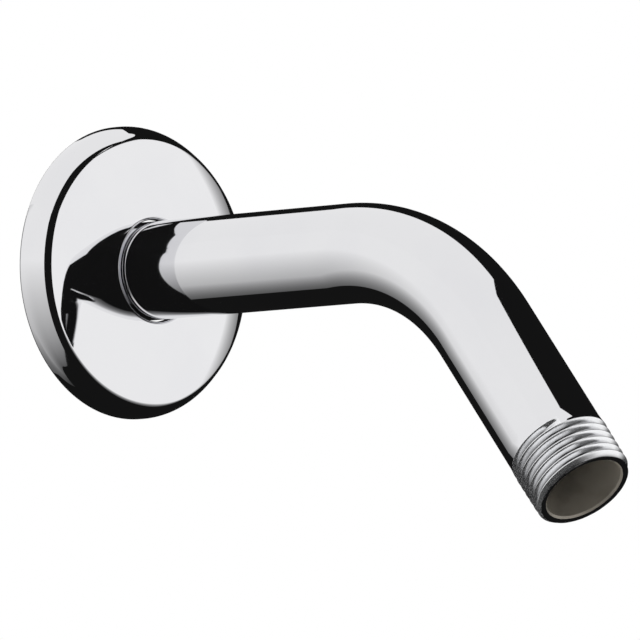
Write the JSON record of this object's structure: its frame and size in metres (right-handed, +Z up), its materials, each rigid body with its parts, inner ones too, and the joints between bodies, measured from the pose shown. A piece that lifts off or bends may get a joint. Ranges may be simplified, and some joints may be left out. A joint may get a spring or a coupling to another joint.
{
  "type": "shower arm",
  "caption": "Chromed shower arm: a bent tube with a pipe thread at each end, and a domed round wall flange that slides on it.",
  "frame": {"origin": "on the arm's axis, in the plane of the finished wall where the flange's rim rests", "axes": "+X out of the wall along the arm's straight run, +Z up, the arm bends down in the plane Y = 0"},
  "size_m": [0.1601, 0.062, 0.0895],
  "materials": {
    "arm_chrome": "polished chrome plate on brass",
    "flange_chrome": "polished chrome plate on pressed brass"
  },
  "bodies": {
    "arm": {"shower_arm": "arm_chrome"},
    "flange": {"wall_flange": "flange_chrome"}
  },
  "joints": [
    {"name": "flange_slide", "type": "slide", "parent": "arm", "child": "flange", "axis": [1, 0, 0], "range_m": [0, 0.056]}
  ]
}
